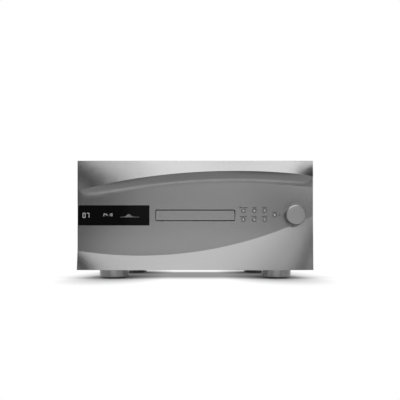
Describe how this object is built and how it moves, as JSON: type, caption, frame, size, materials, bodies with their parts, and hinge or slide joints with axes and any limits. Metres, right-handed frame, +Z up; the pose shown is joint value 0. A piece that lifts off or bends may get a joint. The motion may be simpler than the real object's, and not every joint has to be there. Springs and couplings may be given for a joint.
{
  "type": "disc player",
  "caption": "Full-width disc player with a sculpted front panel, sliding disc tray, display window, push buttons, control knob and turned feet.",
  "frame": {"origin": "on the surface that the feet stand on, under the middle of the whole object", "axes": "+X to the right seen from the front, +Y from the front panel to the back, +Z up"},
  "size_m": [0.444, 0.435, 0.223],
  "materials": {
    "panel_aluminium": "fine bead-blasted and anodised grey, satin",
    "case_aluminium": "satin anodised grey",
    "base_steel": "fine textured dark grey paint",
    "rear_steel": "fine textured dark grey paint",
    "bracket_steel": "zinc-plated sheet",
    "window_black": "polished black window",
    "module_black": "matt black moulding",
    "lens_dark": "dark smoked lens",
    "tray_front_aluminium": "satin anodised grey",
    "tray_plastic": "fine textured black moulding",
    "knob_aluminium": "spun face with a bright turned edge",
    "circuit_green": "solder mask over laminate",
    "pad_rubber": "matt black rubber",
    "fastener_steel": "zinc-plated",
    "fastener_black": "black oxide",
    "gear_nylon": "natural acetal",
    "brass_part": "turned brass",
    "belt_rubber": "matt black belt",
    "motor_steel": "plated motor can",
    "clamp_plastic": "black moulding",
    "frame_casting": "die-cast, as cast",
    "rod_steel": "ground and polished",
    "winding_wrap": "polyester tape over copper winding",
    "capacitor_sleeve": "shrink sleeve",
    "gold_plate": "gold-plated",
    "socket_nickel": "nickel-plated",
    "socket_black": "black moulding",
    "rocker_black": "glossy black paddle",
    "foot_aluminium": "fine turned, anodised",
    "button_metal": "polished dome"
  },
  "bodies": {
    "chassis": {"balanced_sockets": "socket_black", "base_plate": "base_steel", "bayonet_sockets": "socket_nickel", "board_standoffs": "brass_part", "button_board": "circuit_green", "capacitors": "capacitor_sleeve", "case_screws": "fastener_black", "clamp_bridge": "bracket_steel", "data_sockets": "socket_nickel", "display_module": "module_black", "display_window": "window_black", "foot_bolts": "fastener_steel", "foot_front_left": "foot_aluminium", "foot_front_right": "foot_aluminium", "foot_pads": "pad_rubber", "foot_rear_left": "foot_aluminium", "foot_rear_right": "foot_aluminium", "front_panel": "panel_aluminium", "front_panel_screws": "fastener_steel", "front_subpanel": "bracket_steel", "knob_encoder": "module_black", "loading_belt": "belt_rubber", "loading_motor": "motor_steel", "main_board": "circuit_green", "mains_inlet": "socket_black", "output_board": "circuit_green", "phono_sockets": "gold_plate", "power_board": "circuit_green", "rear_panel": "rear_steel", "side_panel_left": "case_aluminium", "side_panel_right": "case_aluminium", "status_lens": "lens_dark", "top_cover": "case_aluminium", "transformer_left": "winding_wrap", "transformer_right": "winding_wrap", "transport_deck": "bracket_steel", "transport_posts": "fastener_steel"},
    "tray_body": {"tray": "tray_plastic", "tray_front": "tray_front_aluminium"},
    "tray_gear_body": {"tray_gear": "gear_nylon"},
    "drive_pulley_body": {"drive_pulley": "gear_nylon"},
    "motor_pulley_body": {"motor_pulley": "brass_part"},
    "lift_cam_body": {"lift_cam": "gear_nylon"},
    "traverse": {"traverse_frame": "frame_casting", "spindle_motor": "motor_steel", "sled_rods": "rod_steel", "sled_motor": "motor_steel"},
    "turntable_body": {"turntable": "clamp_plastic"},
    "clamp_body": {"clamp_disc": "clamp_plastic"},
    "sled": {"pickup_sled": "frame_casting"},
    "feed_gear_body": {"feed_gear": "gear_nylon"},
    "knob": {"control_knob": "knob_aluminium"},
    "rocker": {"mains_rocker": "rocker_black"},
    "key_play": {"button_play": "button_metal"},
    "key_stop": {"button_stop": "button_metal"},
    "key_next": {"button_next": "button_metal"},
    "key_open": {"button_open": "button_metal"},
    "key_previous": {"button_previous": "button_metal"},
    "key_repeat": {"button_repeat": "button_metal"},
    "key_power": {"button_power": "button_metal"}
  },
  "joints": [
    {"name": "tray_slide", "type": "slide", "parent": "chassis", "child": "tray_body", "axis": [0, -1, 0], "range_m": [0, 0.15]},
    {"name": "tray_gear_spin", "type": "hinge", "parent": "chassis", "child": "tray_gear_body", "pos_m": [-0.0442, -0.1685, 0.112], "axis": [0, 0, 1], "range_deg": [0, 480]},
    {"name": "drive_pulley_spin", "type": "hinge", "parent": "chassis", "child": "drive_pulley_body", "pos_m": [-0.0157, -0.1685, 0.1], "axis": [0, 0, 1], "range_deg": [-820, 0]},
    {"name": "motor_pulley_spin", "type": "hinge", "parent": "chassis", "child": "motor_pulley_body", "pos_m": [0.0203, -0.1685, 0.095], "axis": [0, 0, 1], "range_deg": [-2460, 0]},
    {"name": "traverse_lift", "type": "slide", "parent": "chassis", "child": "traverse", "axis": [0, 0, 1], "range_m": [0, 0.01]},
    {"name": "lift_cam_slide", "type": "slide", "parent": "chassis", "child": "lift_cam_body", "axis": [0, 1, 0], "range_m": [0, 0.025]},
    {"name": "turntable_spin", "type": "hinge", "parent": "traverse", "child": "turntable_body", "pos_m": [0, -0.1282, 0.1117], "axis": [0, 0, 1], "continuous": true},
    {"name": "clamp_spin", "type": "hinge", "parent": "chassis", "child": "clamp_body", "pos_m": [0, -0.1282, 0.1262], "axis": [0, 0, 1], "continuous": true},
    {"name": "sled_slide", "type": "slide", "parent": "traverse", "child": "sled", "axis": [0, 1, 0], "range_m": [0, 0.034]},
    {"name": "feed_gear_spin", "type": "hinge", "parent": "traverse", "child": "feed_gear_body", "pos_m": [0.022, -0.0392, 0.106], "axis": [0, 0, 1], "range_deg": [-244, 0]},
    {"name": "knob_spin", "type": "hinge", "parent": "chassis", "child": "knob", "pos_m": [0.1871, -0.2045, 0.12], "axis": [0, 1, 0], "continuous": true},
    {"name": "rocker_tilt", "type": "hinge", "parent": "chassis", "child": "rocker", "pos_m": [-0.146, 0.2075, 0.06], "axis": [1, 0, 0], "range_deg": [0, 18]},
    {"name": "press_play", "type": "slide", "parent": "chassis", "child": "key_play", "axis": [0, 1, 0], "range_m": [0, 0.001], "stiffness_N_per_m": 300},
    {"name": "press_stop", "type": "slide", "parent": "chassis", "child": "key_stop", "axis": [0, 1, 0], "range_m": [0, 0.001], "stiffness_N_per_m": 300},
    {"name": "press_next", "type": "slide", "parent": "chassis", "child": "key_next", "axis": [0, 1, 0], "range_m": [0, 0.001], "stiffness_N_per_m": 300},
    {"name": "press_open", "type": "slide", "parent": "chassis", "child": "key_open", "axis": [0, 1, 0], "range_m": [0, 0.001], "stiffness_N_per_m": 300},
    {"name": "press_previous", "type": "slide", "parent": "chassis", "child": "key_previous", "axis": [0, 1, 0], "range_m": [0, 0.001], "stiffness_N_per_m": 300},
    {"name": "press_repeat", "type": "slide", "parent": "chassis", "child": "key_repeat", "axis": [0, 1, 0], "range_m": [0, 0.001], "stiffness_N_per_m": 300},
    {"name": "press_power", "type": "slide", "parent": "chassis", "child": "key_power", "axis": [0, 1, 0], "range_m": [0, 0.001], "stiffness_N_per_m": 300}
  ],
  "couplings": [
    {"joint": "tray_gear_spin", "follows": "tray_slide", "rad_per_m": 55.556},
    {"joint": "drive_pulley_spin", "follows": "tray_slide", "rad_per_m": -95.238},
    {"joint": "motor_pulley_spin", "follows": "tray_slide", "rad_per_m": -285.71},
    {"joint": "lift_cam_slide", "follows": "traverse_lift", "ratio": 2.5},
    {"joint": "clamp_spin", "follows": "turntable_spin", "ratio": 1},
    {"joint": "feed_gear_spin", "follows": "sled_slide", "rad_per_m": -125}
  ]
}
